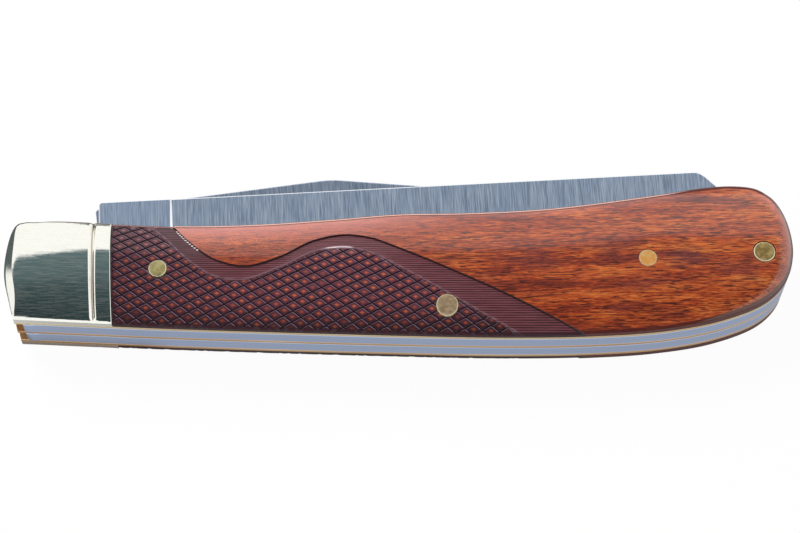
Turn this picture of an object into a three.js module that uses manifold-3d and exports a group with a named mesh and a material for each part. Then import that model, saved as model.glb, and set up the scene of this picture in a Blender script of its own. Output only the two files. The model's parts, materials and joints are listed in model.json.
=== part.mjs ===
// A closed two-blade slip-joint pocket knife, in millimetres. It lies on its far side.
// X runs from the bolster end to the butt, Y from the back springs to the blade side, Z up through
// the thickness. The origin is on the blades' pivot axis, at the plane the knife lies on.

import * as THREE from 'three';
import { mergeVertices } from 'three/addons/utils/BufferGeometryUtils.js';
import Module from 'manifold-3d';

const wasm = await Module();
wasm.setup();

// Layers, from the far side up to the near side
const coverThickness = 2.8;
const linerThickness = 0.6;
const layerThickness = 2.4;

// Edge and crown of a cover, which is a bolster and a scale in one line
const coverWall = 0.85;
const coverChamfer = 0.2;
const crownShare = 0.7;
const frontBevel = 1.6;
const buttBevel = 2.0;

// Handle, measured from the pivot axis
const pivotToFront = 7.6;
const pivotToButt = 97.5;
const pivotToTop = 5.6;
const backTilt = THREE.MathUtils.degToRad(-2.8);

// Bolster
const bolsterTilt = THREE.MathUtils.degToRad(3);
const pivotToJoint = 6.62;
const pivotToGroove = 4.15;
const grooveWidth = 0.95;
const grooveDepth = 0.35;
const grooveEndFromBack = 0.5;
const grooveLift = 0.02;

// Carved panel of the scale
const panelSink = 0.3;
const panelOverrun = 20;

// Tang and spring: three flats and their corners, measured from the pivot axis
const tangFlat = 5.6;
const tangCorner = 6.5;
const tangShoulder = 4.73;
const springTip = 3.36;
const tangThickness = 2.3;
const springGap = 0.05;
const tipGap = 0.1;
const springTipRound = 0.35;

// Blades, each in its own frame: pivot at the origin, tip towards +X, spine on the +Y side
const bladeEdge = 4.3;
const bladeSpineThickness = 2.1;
const bladeEdgeThickness = 0.3;
const plunge = 14.5;
const heel = 10.5;
const spineChamfer = 0.3;
const kickStart = 4.9;
const kickRun = 2;
const kickDrop = 0.55;
const speyTilt = THREE.MathUtils.degToRad(3.3);
const speyTipToButt = 6.2;
const speyTipHeight = 3.7;
const speyClipAngle = THREE.MathUtils.degToRad(49);
const speyCornerRound = 1.0;
const clipTilt = THREE.MathUtils.degToRad(8.3);
const clipPeak = 37.2;
const clipTipToButt = 8.5;
const clipTipHeight = -2.5;
const clipPeakRound = 1.6;

// Nail nicks, cut by a tilted wheel into the far face of each blade
const nickWheel = 23;
const nickDepth = 0.5;
const nickHeight = 1.9;
const nickTilt = THREE.MathUtils.degToRad(10);
const nickBelowSpine = 0.8;
const clipNick = 30;
const speyNick = 75;

// Pins
const pinFit = 0.03;
const pivotFit = 0.05;
const pivotRadius = 1.2;
const springPinRadius = 1.43;
const rivetRadius = 1.18;
const bolsterRivetRadius = 0.8;
const middlePin = { x: 51.3, fromBack: 3.65 };
const rearPinFromButt = 4.05;
const rearPinHeight = 0.4;
const frontRivet = { x: 13, y: -2.05 };
const rearRivetFromButt = 19.55;
const rearRivetHeight = -0.5;
const bolsterRivet = { x: 1.6, y: -4.6 };

// Sampling
const outlineSteps = 104;
const frontSteps = 16;
const grooveSteps = 14;
const panelSteps = 40;
const springSteps = 56;
const bellySteps = 28;
const cornerSteps = 5;
const kickSteps = 6;
const tangStepAngle = THREE.MathUtils.degToRad(7);
const roundSegments = 24;
const wheelSegments = 96;
const crownSteps = [0, 0.16, 0.36, 0.6, 1];
const through = 400;

// Levels through the thickness, all from the layers above
const farLinerZ = coverThickness;
const farLayerZ = farLinerZ + linerThickness;
const centreLinerZ = farLayerZ + layerThickness;
const nearLayerZ = centreLinerZ + linerThickness;
const nearLinerZ = nearLayerZ + layerThickness;
const nearCoverZ = nearLinerZ + linerThickness;
const topZ = nearCoverZ + coverThickness;
const pivotToBack = tangFlat + springTip;

// Helpers: points, curves and solids

function point(x, y) {
  return new THREE.Vector2(x, y);
}

function curveThrough(points, steps) {
  const curve = new THREE.CatmullRomCurve3(
    points.map((p) => new THREE.Vector3(p.x, p.y, 0)),
    false,
    'centripetal',
  );
  return curve.getPoints(steps).map((p) => point(p.x, p.y));
}

function turned(x, y, angle) {
  return point(x, y).rotateAround(point(0, 0), angle);
}

function heightAt(line, x) {
  const next = line.findIndex((p) => p.x >= x);
  if (next === 0) return line[0].y;
  if (next < 0) return line[line.length - 1].y;
  const low = line[next - 1];
  const high = line[next];
  return THREE.MathUtils.mapLinear(x, low.x, high.x, low.y, high.y);
}

function solidOf(geometry) {
  const bare = geometry.clone();
  bare.deleteAttribute('normal');
  bare.deleteAttribute('uv');
  const merged = mergeVertices(bare, 1e-5);
  return new wasm.Manifold(new wasm.Mesh({
    numProp: 3,
    vertProperties: new Float32Array(merged.attributes.position.array),
    triVerts: new Uint32Array(merged.index.array),
  }));
}

function geometryOf(solid) {
  const mesh = solid.getMesh();
  const geometry = new THREE.BufferGeometry();
  geometry.setAttribute('position', new THREE.BufferAttribute(mesh.vertProperties, 3));
  geometry.setIndex(new THREE.BufferAttribute(mesh.triVerts, 1));
  const faceted = geometry.toNonIndexed();
  faceted.computeVertexNormals();
  return faceted;
}

function plate(points, lowZ, highZ) {
  const settings = { depth: highZ - lowZ, bevelEnabled: false };
  const geometry = new THREE.ExtrudeGeometry(new THREE.Shape(points), settings);
  geometry.translate(0, 0, lowZ);
  return solidOf(geometry);
}

function post(x, y, radius, lowZ, highZ) {
  const geometry = new THREE.CylinderGeometry(radius, radius, highZ - lowZ, roundSegments);
  geometry.rotateX(Math.PI / 2);
  geometry.translate(x, y, (lowZ + highZ) / 2);
  return solidOf(geometry);
}

function box(lowX, highX, lowY, highY, lowZ, highZ) {
  const geometry = new THREE.BoxGeometry(highX - lowX, highY - lowY, highZ - lowZ);
  geometry.translate((lowX + highX) / 2, (lowY + highY) / 2, (lowZ + highZ) / 2);
  return solidOf(geometry);
}

// Handle outline. Each line is a list of hand-chosen stations: the share of the way from the
// pivot to the butt, and the height above the top edge or above the back at the pivot.

const topStations = [
  { share: 0.885, rise: 5.05 }, { share: 0.81, rise: 3.8 }, { share: 0.667, rise: 1.87 },
  { share: 0.554, rise: 1.23 }, { share: 0.462, rise: 1.05 }, { share: 0.369, rise: 0.25 },
  { share: 0.267, rise: -0.48 }, { share: 0.164, rise: -0.72 }, { share: 0.062, rise: -0.31 },
  { share: -0.01, rise: 0.03 },
];
const backStations = [
  { share: 0.056, rise: -0.25 }, { share: 0.13, rise: -0.58 }, { share: 0.256, rise: -1.03 },
  { share: 0.462, rise: -1.64 }, { share: 0.6, rise: -1.9 }, { share: 0.718, rise: -1.74 },
  { share: 0.82, rise: -1.02 }, { share: 0.903, rise: 0.62 },
];

// Round the butt and the front end: the distance from that end, and the height above the back or
// above the top edge at the pivot.
const lowButt = [{ before: 3.7, rise: 3.15 }, { before: 0.95, rise: 6.2 }];
const highButt = [
  { before: 0.35, rise: -0.9 }, { before: 1.3, rise: 1.8 }, { before: 2.6, rise: 3.7 },
  { before: 4.3, rise: 4.85 }, { before: 7.1, rise: 5.28 },
];
const highFront = [
  { behind: 2.5, rise: -0.08 }, { behind: 1.35, rise: -0.5 }, { behind: 0.75, rise: -1.45 },
  { behind: 0.25, rise: -3.6 },
];
const lowFront = [
  { behind: 0.2, rise: 5.7 }, { behind: 0.8, rise: 3.36 }, { behind: 1.65, rise: 0.3 },
];
const buttMiddle = 0.9;
const frontMiddle = -1.1;

const topLine = topStations.map(({ share, rise }) => point(share * pivotToButt, pivotToTop + rise));
const backLine = backStations.map(({ share, rise }) => {
  return point(share * pivotToButt, rise - pivotToBack);
});
const buttLine = [
  ...lowButt.map(({ before, rise }) => point(pivotToButt - before, rise - pivotToBack)),
  point(pivotToButt, buttMiddle),
  ...highButt.map(({ before, rise }) => point(pivotToButt - before, pivotToTop + rise)),
];
const frontLine = [
  ...highFront.map(({ behind, rise }) => point(behind - pivotToFront, pivotToTop + rise)),
  point(-pivotToFront, frontMiddle),
  ...lowFront.map(({ behind, rise }) => point(behind - pivotToFront, rise - pivotToBack)),
];
const topCorner = frontLine[0];
const backCorner = frontLine[frontLine.length - 1];

const roundTheButt = curveThrough(
  [backCorner, ...backLine, ...buttLine, ...topLine, topCorner],
  outlineSteps,
);
const roundTheFront = curveThrough(frontLine, frontSteps);
const handleOutline = [...roundTheButt, ...roundTheFront.slice(1, -1)];

const buttTurn = roundTheButt.reduce((last, p, i) => (p.x > roundTheButt[last].x ? i : last), 0);
const lowerEdge = roundTheButt.slice(0, buttTurn + 1);
const upperEdge = roundTheButt.slice(buttTurn).reverse();

function backAt(x) {
  return heightAt(lowerEdge, x);
}

function topAt(x) {
  return heightAt(upperEdge, x);
}

// Covers. Rings of the outline draw in towards the handle's middle line and rise to a flat land.

function middleOf(p) {
  const x = THREE.MathUtils.clamp(p.x, frontBevel - pivotToFront, pivotToButt - buttBevel);
  return point(x, (backAt(x) + topAt(x)) / 2);
}

// Height of the crown where the way from the edge to the middle line is done to a share of `draw`
function crownAt(draw, sink) {
  const edge = coverWall + coverChamfer;
  const step = Math.min(draw / crownShare, 1);
  return edge + (coverThickness - edge - sink) * (1 - (1 - step) ** 2);
}

function coverRings(sink) {
  const rings = [0, coverWall].map((z) => {
    return handleOutline.map((p) => new THREE.Vector3(p.x, p.y, z));
  });
  crownSteps.forEach((step) => {
    const draw = step * crownShare;
    rings.push(handleOutline.map((p) => {
      const middle = middleOf(p);
      const start = coverChamfer / p.distanceTo(middle);
      const inner = p.clone().lerp(middle, start + (1 - start) * draw);
      return new THREE.Vector3(inner.x, inner.y, crownAt(draw, sink));
    }));
  });
  return rings;
}

function cover(sink) {
  const rings = coverRings(sink);
  const count = handleOutline.length;
  const positions = rings.flat().flatMap((p) => [p.x, p.y, p.z]);
  const index = [];
  rings.slice(1).forEach((ring, level) => {
    ring.forEach((p, i) => {
      const a = level * count + i;
      const b = level * count + ((i + 1) % count);
      index.push(a, b, b + count, a, b + count, a + count);
    });
  });
  const last = (rings.length - 1) * count;
  THREE.ShapeUtils.triangulateShape(handleOutline, []).forEach(([a, b, c]) => index.push(a, c, b));
  const land = rings[rings.length - 1].map((p) => point(p.x, p.y));
  THREE.ShapeUtils.triangulateShape(land, []).forEach(([a, b, c]) => {
    index.push(last + a, last + b, last + c);
  });
  const geometry = new THREE.BufferGeometry();
  geometry.setAttribute('position', new THREE.Float32BufferAttribute(positions, 3));
  geometry.setIndex(index);
  return solidOf(geometry);
}

const fullCover = cover(0);

function farSide(solid) {
  return solid.mirror([0, 0, 1]).translate([0, 0, coverThickness]);
}

function nearSide(solid) {
  return solid.translate([0, 0, nearCoverZ]);
}

// Pins and the holes they pass through

const rearPin = { x: pivotToButt - rearPinFromButt, y: rearPinHeight };
const rearRivet = { x: pivotToButt - rearRivetFromButt, y: rearRivetHeight };
const middlePinPlace = { x: middlePin.x, y: backAt(middlePin.x) + middlePin.fromBack };
const throughPins = [
  { place: { x: 0, y: 0 }, radius: pivotRadius },
  { place: middlePinPlace, radius: springPinRadius },
  { place: rearPin, radius: springPinRadius },
];
const shortPins = [
  { place: frontRivet, radius: rivetRadius },
  { place: rearRivet, radius: rivetRadius },
  { place: bolsterRivet, radius: bolsterRivetRadius },
];

function drilled(solid, pins) {
  return pins.reduce((left, pin) => {
    const hole = post(pin.place.x, pin.place.y, pin.radius + pinFit, -through, through);
    return left.subtract(hole);
  }, solid);
}

// A pin's ends are ground down to the crown of the covers.
const envelope = nearSide(fullCover)
  .add(farSide(fullCover))
  .add(plate(handleOutline, coverThickness - coverWall / 2, nearCoverZ + coverWall / 2));

function groundPin(place, radius, lowZ, highZ) {
  return post(place.x, place.y, radius, lowZ, highZ).intersect(envelope);
}

// Bolsters and scales, cut from one cover along the joint

function squareCut(fromPivot) {
  const slab = box(fromPivot, through, -through, through, -through, through);
  return slab.rotate([0, 0, THREE.MathUtils.radToDeg(bolsterTilt)]);
}

// A trough across the crown, which runs out just short of the back
function groove() {
  const low = backAt(pivotToGroove);
  const high = topAt(pivotToGroove);
  const middle = (low + high) / 2;
  const start = low + grooveEndFromBack;
  const end = high + grooveWidth;
  const section = [
    point(-grooveWidth / 2, 0),
    point(-grooveWidth / 4, -grooveDepth),
    point(grooveWidth / 4, -grooveDepth),
    point(grooveWidth / 2, 0),
    point(grooveWidth / 2, coverThickness),
    point(-grooveWidth / 2, coverThickness),
  ];
  const positions = [];
  for (let i = 0; i <= grooveSteps; i += 1) {
    const y = THREE.MathUtils.lerp(start, end, i / grooveSteps);
    const draw = 1 - Math.abs(y - middle) / (high - middle);
    const depth = Math.min(i, 1);
    section.forEach((p) => {
      const z = crownAt(draw, 0) + (p.y < 0 ? p.y * depth : p.y) + grooveLift;
      positions.push(pivotToGroove + p.x, y, z);
    });
  }
  return loft(positions, section.length, grooveSteps + 1);
}

function loft(positions, sides, stations) {
  const index = [];
  for (let station = 0; station < stations - 1; station += 1) {
    for (let side = 0; side < sides; side += 1) {
      const a = station * sides + side;
      const b = station * sides + ((side + 1) % sides);
      index.push(a, b + sides, b, a, a + sides, b + sides);
    }
  }
  const last = (stations - 1) * sides;
  for (let side = 1; side < sides - 1; side += 1) {
    index.push(0, side, side + 1);
    index.push(last, last + side + 1, last + side);
  }
  const geometry = new THREE.BufferGeometry();
  geometry.setAttribute('position', new THREE.Float32BufferAttribute(positions, 3));
  geometry.setIndex(index);
  return solidOf(geometry);
}

function bolster() {
  const cut = groove().rotate([0, 0, THREE.MathUtils.radToDeg(bolsterTilt)]);
  const blank = fullCover.subtract(squareCut(pivotToJoint)).subtract(cut);
  return drilled(blank, [throughPins[0], shortPins[2]]);
}

// The border of the carved panel, from the top edge to the back: the distance from the pivot
// and the share of the handle's height there, 0 at the back and 1 at the top.
const panelStations = [
  { x: 13.2, share: 1.12 }, { x: 14.6, share: 0.97 }, { x: 15.8, share: 0.87 },
  { x: 17.2, share: 0.76 }, { x: 18.6, share: 0.68 }, { x: 20.6, share: 0.59 },
  { x: 23.4, share: 0.545 }, { x: 26.5, share: 0.58 }, { x: 29.2, share: 0.65 },
  { x: 31.8, share: 0.745 }, { x: 34.5, share: 0.815 }, { x: 37.8, share: 0.835 },
  { x: 40.5, share: 0.8 }, { x: 45, share: 0.675 }, { x: 53, share: 0.475 },
  { x: 58.3, share: 0.325 }, { x: 63.5, share: 0.17 }, { x: 69.1, share: 0.02 },
  { x: 72, share: -0.08 },
];

function panel() {
  const border = curveThrough(panelStations.map(({ x, share }) => {
    return point(x, THREE.MathUtils.lerp(backAt(x), topAt(x), share));
  }), panelSteps);
  const low = -pivotToBack - panelOverrun;
  const outline = [point(0, low), point(border[border.length - 1].x, low)];
  outline.push(...border.reverse(), point(0, border[border.length - 1].y));
  return plate(outline, -through, through);
}

function scale() {
  const carving = panel().subtract(cover(panelSink));
  const blank = fullCover.intersect(squareCut(pivotToJoint)).subtract(carving);
  return drilled(blank, [throughPins[1], throughPins[2], shortPins[0], shortPins[1]]);
}

// Liners

function liner(lowZ, extraPins) {
  return drilled(plate(handleOutline, lowZ, lowZ + linerThickness), [...throughPins, ...extraPins]);
}

// Back springs. The inner line runs from the tip to the root: the first part is parallel to the
// back, the next has a thickness at each distance from the pivot, and the last has a height at
// each distance before the butt.

const springWaist = [
  { x: 14, thick: 3.45 }, { x: 26, thick: 3.75 }, { x: 38, thick: 5.3 },
  { x: 51.3, thick: 6.5 }, { x: 64, thick: 6.1 }, { x: 74, thick: 5.7 },
];
const springRoot = [
  { before: 14, height: -3.9 }, { before: 10.2, height: -1.3 }, { before: 7.2, height: 2.2 },
  { before: 5.5, height: 6.2 }, { before: 4.6, height: 12 },
];

function spring(lowZ) {
  const seat = -tangFlat - springGap;
  const tip = turned(tipGap - tangShoulder, seat, backTilt);
  const tipBase = turned(tipGap - tangShoulder, -2 * pivotToBack, backTilt);
  const seatEnd = turned(pivotToJoint, seat, backTilt);
  const inner = [tip, seatEnd];
  inner.push(...springWaist.map(({ x, thick }) => point(x, backAt(x) + thick)));
  inner.push(...springRoot.map(({ before, height }) => point(pivotToButt - before, height)));
  const innerCurve = curveThrough(inner, springSteps);
  const far = point(pivotToButt + buttBevel, inner[inner.length - 1].y);
  const outline = [tipBase, point(far.x, tipBase.y), far, ...innerCurve.reverse()];
  const blank = plate(outline, lowZ, lowZ + layerThickness)
    .intersect(plate(handleOutline, -through, through))
    .subtract(tipRounding());
  return drilled(blank, throughPins.slice(1));
}

// What a quarter-round takes off the outer corner of a spring's tip
function tipRounding() {
  const x = tipGap - tangShoulder + springTipRound;
  const y = springTipRound - pivotToBack;
  const corner = box(x - 3 * springTipRound, x, y - 3 * springTipRound, y, -through, through);
  const keep = post(x, y, springTipRound, -through, through);
  return corner.subtract(keep).rotate([0, 0, THREE.MathUtils.radToDeg(backTilt)]);
}

// Blades

// Round corners and flats of the tang, from the shoulder to the closed flat.
function tangPoints(closedNormal) {
  const half = Math.acos(tangFlat / tangCorner);
  const corners = [
    [Math.PI / 2 + half, Math.PI - half],
    [Math.PI + half, closedNormal - half],
  ];
  const points = [];
  corners.forEach(([from, to]) => {
    const steps = Math.max(2, Math.round(Math.abs(to - from) / tangStepAngle));
    for (let i = 0; i <= steps; i += 1) {
      points.push(turned(tangCorner, 0, THREE.MathUtils.lerp(from, to, i / steps)));
    }
  });
  points.push(turned(tangFlat, tangCorner * Math.sin(half), closedNormal));
  return points;
}

// A bar with the section of a ground blade: full at the spine, thin at the edge
function grind() {
  const levels = [
    [-2 * bladeEdge, bladeEdgeThickness],
    [-bladeEdge, bladeEdgeThickness],
    [pivotToBack, bladeSpineThickness],
    [2 * pivotToBack, bladeSpineThickness],
  ];
  const section = [
    ...levels.map(([y, thick]) => point(y, -thick / 2)),
    ...[...levels].reverse().map(([y, thick]) => point(y, thick / 2)),
  ];
  const settings = { depth: pivotToButt, bevelEnabled: false };
  const geometry = new THREE.ExtrudeGeometry(new THREE.Shape(section), settings);
  geometry.applyMatrix4(new THREE.Matrix4().makeBasis(
    new THREE.Vector3(0, 1, 0),
    new THREE.Vector3(0, 0, 1),
    new THREE.Vector3(1, 0, 0),
  ));
  return solidOf(geometry);
}

function nick(x) {
  const y = pivotToBack - nickBelowSpine - nickHeight / 2;
  const wheel = new THREE.CylinderGeometry(nickWheel, nickWheel, nickHeight, wheelSegments);
  wheel.translate(0, 0, -nickWheel);
  wheel.rotateX(-nickTilt);
  wheel.translate(x, y, nickDepth - bladeSpineThickness / 2);
  return solidOf(wheel);
}

function blade(restTilt, tipSide, nickX) {
  const closedNormal = THREE.MathUtils.degToRad(270) + backTilt - restTilt;
  const kick = curveThrough([
    turned(tangFlat, kickStart, closedNormal),
    point(heel - kickRun, -bladeEdge - kickDrop),
    point(heel, -bladeEdge),
  ], kickSteps);
  const outline = [
    point(tangShoulder, tangFlat),
    ...tangPoints(closedNormal),
    ...kick,
    ...tipSide,
    point(tangShoulder + spineChamfer, pivotToBack),
    point(tangShoulder, pivotToBack - spineChamfer),
  ];
  const tang = box(-through, plunge, -through, through, -tangThickness / 2, tangThickness / 2);
  return plate(outline, -tangThickness / 2, tangThickness / 2)
    .intersect(tang.add(grind()))
    .subtract(post(0, 0, pivotRadius + pivotFit, -through, through))
    .subtract(nick(nickX));
}

// Each blade's far end, from the heel along the edge, round the belly, up to the tip and back
// along the spine. Belly stations have a height above the edge line at each distance behind the tip.

const straightEdge = { length: 14, bow: 0.15 };
const speyBelly = [
  { behind: 31, height: -0.2 }, { behind: 14, height: 0.35 }, { behind: 6.5, height: 2.3 },
  { behind: 1.8, height: 5.1 },
];
const clipBelly = [
  { behind: 38, height: -0.55 }, { behind: 15, height: -0.2 }, { behind: 5, height: 0.75 },
];

function belly(tip, stations) {
  const start = point(heel + straightEdge.length, -bladeEdge - straightEdge.bow);
  const points = stations.map(({ behind, height }) => point(tip.x - behind, height - bladeEdge));
  return curveThrough([start, ...points, tip], bellySteps);
}

function speyTipSide() {
  const tip = point(pivotToButt - speyTipToButt, speyTipHeight);
  const slope = Math.tan(speyClipAngle);
  const corner = point(tip.x - (pivotToBack - tip.y) / slope, pivotToBack);
  const clip = new THREE.QuadraticBezierCurve(
    point(corner.x + speyCornerRound / slope, corner.y - speyCornerRound),
    corner,
    point(corner.x - speyCornerRound, corner.y),
  );
  return [...belly(tip, speyBelly), ...clip.getPoints(cornerSteps)];
}

// The long clip runs straight from the tip to a rounded peak.
function clipTipSide() {
  const tip = point(pivotToButt - clipTipToButt, clipTipHeight);
  const peak = point(clipPeak, pivotToBack);
  const round = new THREE.QuadraticBezierCurve(
    peak.clone().lerp(tip, clipPeakRound / (tip.x - peak.x)),
    peak,
    point(peak.x - clipPeakRound, pivotToBack),
  );
  return [...belly(tip, clipBelly), ...round.getPoints(cornerSteps)];
}

// Materials

function metal(color, roughness) {
  return new THREE.MeshStandardMaterial({ color, roughness, metalness: 1 });
}

const nickelSilver = metal(0xd8d6c8, 0.18);
const brass = metal(0xb8954a, 0.32);
const bladeSteel = metal(0x8d97a0, 0.34);
const springSteel = metal(0x96a2b4, 0.3);
const wood = new THREE.MeshStandardMaterial({ color: 0x9c4a22, roughness: 0.42, metalness: 0 });

function piece(name, solid, material) {
  const mesh = new THREE.Mesh(geometryOf(solid), material);
  mesh.name = name;
  return mesh;
}

// The knife

const knife = new THREE.Group();

const handle = new THREE.Group();
const bolsterSolid = bolster();
const scaleSolid = scale();
handle.add(
  piece('far_bolster', farSide(bolsterSolid), nickelSilver),
  piece('near_bolster', nearSide(bolsterSolid), nickelSilver),
  piece('far_scale', farSide(scaleSolid), wood),
  piece('near_scale', nearSide(scaleSolid), wood),
  piece('far_liner', liner(farLinerZ, shortPins), brass),
  piece('centre_liner', liner(centreLinerZ, []), brass),
  piece('near_liner', liner(nearLinerZ, shortPins), brass),
  piece('far_spring', spring(farLayerZ), springSteel),
  piece('near_spring', spring(nearLayerZ), springSteel),
  piece('pivot_pin', groundPin({ x: 0, y: 0 }, pivotRadius, 0, topZ), springSteel),
  piece('middle_spring_pin', groundPin(middlePinPlace, springPinRadius, 0, topZ), brass),
  piece('rear_spring_pin', groundPin(rearPin, springPinRadius, 0, topZ), brass),
);

const rivetKinds = [
  { name: 'front_rivet', place: frontRivet, radius: rivetRadius, material: brass },
  { name: 'rear_rivet', place: rearRivet, radius: rivetRadius, material: brass },
  { name: 'bolster_rivet', place: bolsterRivet, radius: bolsterRivetRadius, material: nickelSilver },
];
rivetKinds.forEach(({ name, place, radius, material }) => {
  const far = groundPin(place, radius, 0, farLayerZ);
  const near = groundPin(place, radius, nearLinerZ, topZ);
  handle.add(piece(`far_${name}`, far, material), piece(`near_${name}`, near, material));
});
knife.add(handle);

const spey = piece('spey_blade', blade(speyTilt, speyTipSide(), speyNick), bladeSteel);
spey.position.z = nearLayerZ + layerThickness / 2;
spey.rotation.z = speyTilt;
knife.add(spey);

const clip = piece('clip_blade', blade(clipTilt, clipTipSide(), clipNick), bladeSteel);
clip.position.z = farLayerZ + layerThickness / 2;
clip.rotation.z = clipTilt;
knife.add(clip);

export default knife;
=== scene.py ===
# The looks of a closed two-blade folding pocket knife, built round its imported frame.
# Shapes are worked out in millimetres along the frame's axes and written to Blender in metres.

import json
import math

import bmesh
import bpy
import numpy as np
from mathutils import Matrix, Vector
from mathutils.geometry import delaunay_2d_cdt


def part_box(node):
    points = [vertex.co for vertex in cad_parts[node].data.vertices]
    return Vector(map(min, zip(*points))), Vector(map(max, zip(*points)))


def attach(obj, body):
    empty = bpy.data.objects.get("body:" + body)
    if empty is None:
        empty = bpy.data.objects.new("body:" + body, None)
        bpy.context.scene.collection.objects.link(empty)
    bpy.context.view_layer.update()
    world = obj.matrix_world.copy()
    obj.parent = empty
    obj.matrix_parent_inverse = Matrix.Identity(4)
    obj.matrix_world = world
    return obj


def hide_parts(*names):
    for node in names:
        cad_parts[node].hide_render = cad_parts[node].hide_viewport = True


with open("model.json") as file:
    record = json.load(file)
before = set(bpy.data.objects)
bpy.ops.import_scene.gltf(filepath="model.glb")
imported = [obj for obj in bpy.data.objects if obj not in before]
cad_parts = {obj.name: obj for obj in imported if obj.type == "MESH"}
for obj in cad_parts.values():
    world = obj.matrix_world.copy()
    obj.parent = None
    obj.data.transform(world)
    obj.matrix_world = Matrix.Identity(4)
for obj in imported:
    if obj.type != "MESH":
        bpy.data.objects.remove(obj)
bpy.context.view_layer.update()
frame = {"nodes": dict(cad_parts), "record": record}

record = frame["record"]
BODIES = {node: body for body, nodes in record["behaviour"]["bodies"].items() for node in nodes}

MM = 0.001

# Camera: the photograph looks down on the knife's near side from the back springs' side
AIM = (45.08, -0.83, 10.0)
CAMERA_DISTANCE = 300.0
CAMERA_ELEVATION = math.radians(66)
CAMERA_LENS = 101.25
CAMERA_NEAREST = 10.0
SENSOR = 36.0

# Outlines: a line turns at a corner by more than CORNER_TURN, and is drawn smooth elsewhere
CORNER_TURN = math.radians(25)
STRAIGHT_TURN = 1e-4
STRAIGHT_OVER = 6.0
OUTLINE_SPACING = 0.4
SHARPEST = 0.5
SAME_POINT = 1e-3
CROSSING = 1e-7
TINY = 1e-6
CHUNK = 2000
NO_POINTS = np.empty((0, 2))

# Covers: the edge of a bolster or scale, its crown and its end facet
LONG_EDGES = (-5.0, 3.0)
EDGE_HEIGHT = 1.05
CROWN_POWER = 2.6
CROWN_ENDS = (-5.0, 80.0)
CROWN_MARGIN = 1.0
CROWN_LEAN = ((-5.7, 4.0, 6.6, 30.0), (-0.9, 1.3, 1.3, 0.0))
ROLL_START = (60.0, 84.0)
ROLL_WIDTH = 2.4
ROLL_SHARE = 0.45
BEVEL_SLOPE = 1.44
FACET_WIDTH = 1.35
FACET_TRIES = 12

# Bevels: how wide they are, how far they fall for each millimetre, and how clear points stay
RIM = 0.05
BASE_RIM = 0.03
FLUSH_RIM = 0.002
SCALE_RIM = 0.09
TOP_RIM = 0.16
SCALE_RIM_DROP = 0.6
SCALE_CLEAR = 1.3 * TOP_RIM
JOINT_RIM = 0.07
BOLSTER_RIM = 0.22
BOLSTER_LINE_CLEAR = 1.3 * BOLSTER_RIM
BOLSTER_POINT_CLEAR = 1.35 * BOLSTER_RIM
LINER_RIM = 0.05
SPRING_RIM = 0.06

# Bolster: its lines lean a little against the handle
BOLSTER_TILT = math.radians(3)
JOINT = 6.62
JOINT_GAP = 0.02
GROOVE = 4.15
GROOVE_WIDTH = 1.0
GROOVE_DEPTH = 0.33
GROOVE_RUNOUT = (0.1, 0.6)
GROOVE_LINES = np.linspace(-0.6, 0.6, 13)
GROOVE_POINTS = np.arange(-12, 8, 0.3)
GROOVE_CLEAR = 0.75
BOLSTER_SPACING = 0.3
BOLSTER_START = 20.0
BOLSTER_ROWS = (0.31, 0.38, 0.5, 0.65)
BOLSTER_ROWS_WIDTH = 0.8
FACET_CLEAR = 0.1

# Scales: the panel's two borders, its wall, and the lip beside the checkering
BAND_BORDER = (
    (12.85, 7.82), (14.78, 4.7), (17.41, 1.64), (20.7, -0.74), (24.58, -1.6), (29.17, -0.21),
    (33.76, 2.32), (37.75, 3.18), (41.75, 2.51), (49.05, -0.72), (58.25, -5.05), (66.75, -9.32),
    (72.0, -12.0),
)
CHECK_BORDER = (
    (9.4, 7.2), (11.13, 5.05), (13.06, 3.1), (17.28, -1.16), (20.4, -3.15), (23.97, -3.69),
    (29.21, -1.88), (34.46, 0.67), (38.0, 1.08), (42.43, -0.29), (47.72, -3.33), (55.59, -7.98),
    (60.58, -10.7), (64.5, -13.2),
)
PANEL_SINK = 0.28
PANEL_WALL = 0.12
PANEL_WALL_LINES = PANEL_WALL * np.array((-1.3, -1, -0.5, 0, 0.5))
BORDER_GROOVE = 0.16
BORDER_DEPTH = 0.14
BORDER_LINES = BORDER_GROOVE * np.array((-1, -0.5, 0, 0.5, 1))
LIP_WIDTH = 0.22
LIP_HEIGHT = 0.015
LIP_LINES = BORDER_GROOVE + LIP_WIDTH * np.array((0.5, 1))
CROWN_SPACING = 0.55
CROWN_ROWS = (0.23, 0.36, 0.5, 0.62, 0.8, 1.05, 1.35, 1.7, 2.1, 2.5)
ROW_TOLERANCE = 0.98
BAND_CLEAR_OF_GRID = 0.4
BAND_CLEAR_OF_ROWS = 0.3
CHECK_CLEAR = 0.7

# Checkering: two sets of grooves, each CHECK_HALF_ANGLE from CHECK_AXIS
CHECK_SPACING = 1.173
CHECK_AXIS = math.radians(-5.5)
CHECK_HALF_ANGLE = math.radians(31)
CHECK_CENTRE = (30.10, -4.96)
CHECK_COUNT = 60
CHECK_POINTS_CLEAR = 1.2 * BORDER_GROOVE
CHECK_STEPS = 10
CHECK_GROOVE = 0.2
CHECK_DEPTH = 0.16
CHECK_DOME = 0.15

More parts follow.
